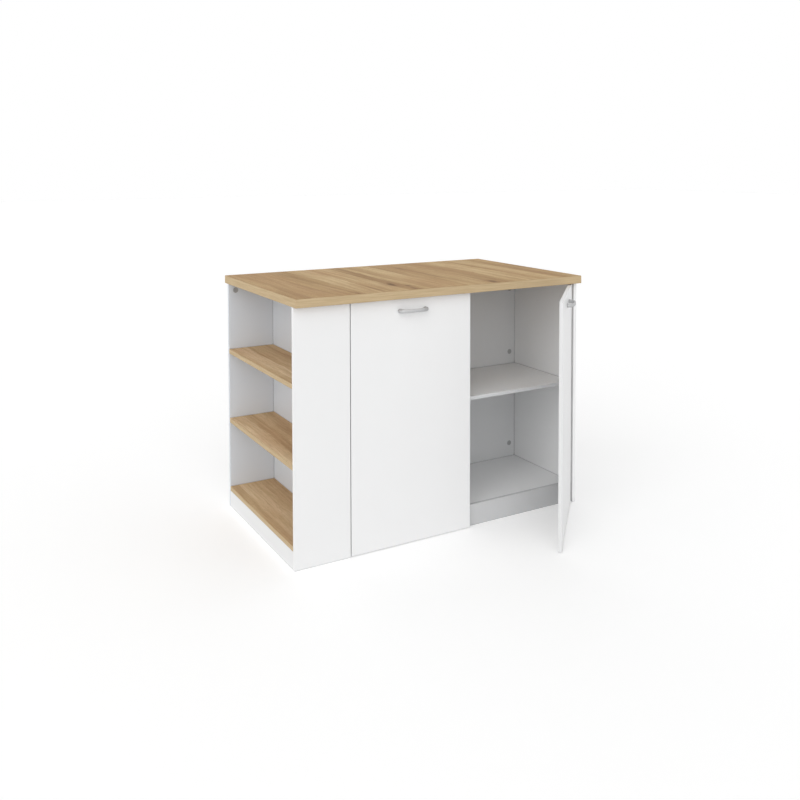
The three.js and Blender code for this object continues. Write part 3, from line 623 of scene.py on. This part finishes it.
steel_finish = satin_metal("nickel_plated_steel", PLATED, PLATED_BRIGHT, PLATED_ROUGHNESS,
                           PLATED_BRUSHED)
for name in nodes:
    if "_hinge_" in name or "_shelf_pin_" in name or "_screw_" in name:
        dress(steel_finish, name)


# ---------------------------------------------------------------- cam fittings
# The fittings that draw the boards together: round castings of dull grey zinc with a cross slot
# for the driver, pressed into the board until they are level with it.

ZINC = (0.440, 0.442, 0.446)
ZINC_BRIGHT = (0.560, 0.562, 0.566)
ZINC_ROUGHNESS = 0.50
ZINC_CAST = (500, 500, 500)
ZINC_METALLIC = 0.5

cam_finish = satin_metal("dull_zinc", ZINC, ZINC_BRIGHT, ZINC_ROUGHNESS, ZINC_CAST, ZINC_METALLIC)
for name in nodes:
    if "cam" in name:
        dress(cam_finish, name)


# ---------------------------------------------------------------- floor and surround
# A plain pale floor under an even white surround. Both show white to the camera, and in metal,
# while the light that they give the unit stays soft and low.

FLOOR_HALF = 30
FLOOR_GREY = 0.90
FLOOR_ROUGHNESS = 0.9
FLOOR_GLOW = 0.17
SURROUND = 0.54
WHITE = (1, 1, 1, 1)


def seen_directly(finish):
    """1 for what the camera sees, also in metal and glass."""
    path = add(finish, "ShaderNodeLightPath").outputs
    return sums(finish, "MAXIMUM", path["Is Camera Ray"],
                sums(finish, "MAXIMUM", path["Is Glossy Ray"], path["Is Transmission Ray"]))


floor_corners = [(x * FLOOR_HALF, y * FLOOR_HALF, 0) for x, y in ((-1, -1), (1, -1), (1, 1), (-1, 1))]
floor_mesh = bpy.data.meshes.new("floor")
floor_mesh.from_pydata(floor_corners, [], [(0, 1, 2, 3)])
floor = bpy.data.objects.new("floor", floor_mesh)
bpy.context.scene.collection.objects.link(floor)
floor_finish = new_finish("pale_floor")
surface(floor_finish).inputs["Base Color"].default_value = (FLOOR_GREY, FLOOR_GREY, FLOOR_GREY, 1)
surface(floor_finish).inputs["Roughness"].default_value = FLOOR_ROUGHNESS
surface(floor_finish).inputs["Specular IOR Level"].default_value = 0.0
surface(floor_finish).inputs["Emission Color"].default_value = WHITE
feed(floor_finish, sums(floor_finish, "MULTIPLY", seen_directly(floor_finish), FLOOR_GLOW),
     surface(floor_finish).inputs["Emission Strength"])
floor_mesh.materials.append(floor_finish)

surround = bpy.data.worlds.new("white_surround")
bpy.context.scene.world = surround
surround.use_nodes = True
backdrop = surround.node_tree.nodes["Background"]
backdrop.inputs["Color"].default_value = WHITE
feed(surround, spread(surround, seen_directly(surround), 0.0, 1.0, SURROUND, 1.0),
     backdrop.inputs["Strength"])


# ---------------------------------------------------------------- lamps
# Four wide soft lamps. The strongest stands in front and to the left, so the fronts and the left
# end are lightest, and the others open up the shadows.

# Where each lamp shines from, and how strongly.
LAMPS = {
    "front_left_lamp": ((-0.50, -0.70, 0.50), 1.20),
    "left_lamp": ((-0.85, -0.10, 0.45), 0.51),
    "front_right_lamp": ((0.45, -0.75, 0.48), 0.19),
    "back_lamp": ((0.00, 0.80, 0.60), 0.50),
}
LAMP_WIDTH = math.radians(70)

for name, (shines_from, power) in LAMPS.items():
    lamp = bpy.data.objects.new(name, bpy.data.lights.new(name, "SUN"))
    lamp.data.energy, lamp.data.angle = power, LAMP_WIDTH
    lamp.rotation_euler = Vector(shines_from).to_track_quat("Z", "Y").to_euler()
    bpy.context.scene.collection.objects.link(lamp)


# ---------------------------------------------------------------- camera
# The camera stands in front and to the left, well above the worktop, and looks almost level. A
# shifted lens brings the unit into the frame, so that its uprights stay almost parallel.

PICTURE_WIDTH = 800
FOCAL_PIXELS = 888.5
VIEW_MIDDLE = (432.6, 202.7)
SENSOR_WIDTH = 36
NEAREST, FARTHEST = 0.05, 200
CAMERA_PLACE = (-1.6708, -2.7241, 1.2595)
CAMERA_HEADING = math.radians(30.991)
CAMERA_TILT = math.radians(2.5)

camera = bpy.data.cameras.new("camera")
camera.sensor_width = SENSOR_WIDTH
camera.lens = FOCAL_PIXELS / PICTURE_WIDTH * SENSOR_WIDTH
camera.shift_x = 0.5 - VIEW_MIDDLE[0] / PICTURE_WIDTH
camera.shift_y = VIEW_MIDDLE[1] / PICTURE_WIDTH - 0.5
camera.clip_start, camera.clip_end = NEAREST, FARTHEST
camera_object = bpy.data.objects.new("camera", camera)
camera_object.location = CAMERA_PLACE
camera_object.rotation_euler = (math.pi / 2 - CAMERA_TILT, 0, -CAMERA_HEADING)
bpy.context.scene.collection.objects.link(camera_object)
bpy.context.scene.camera = camera_object
bpy.context.scene.view_settings.view_transform = "Standard"
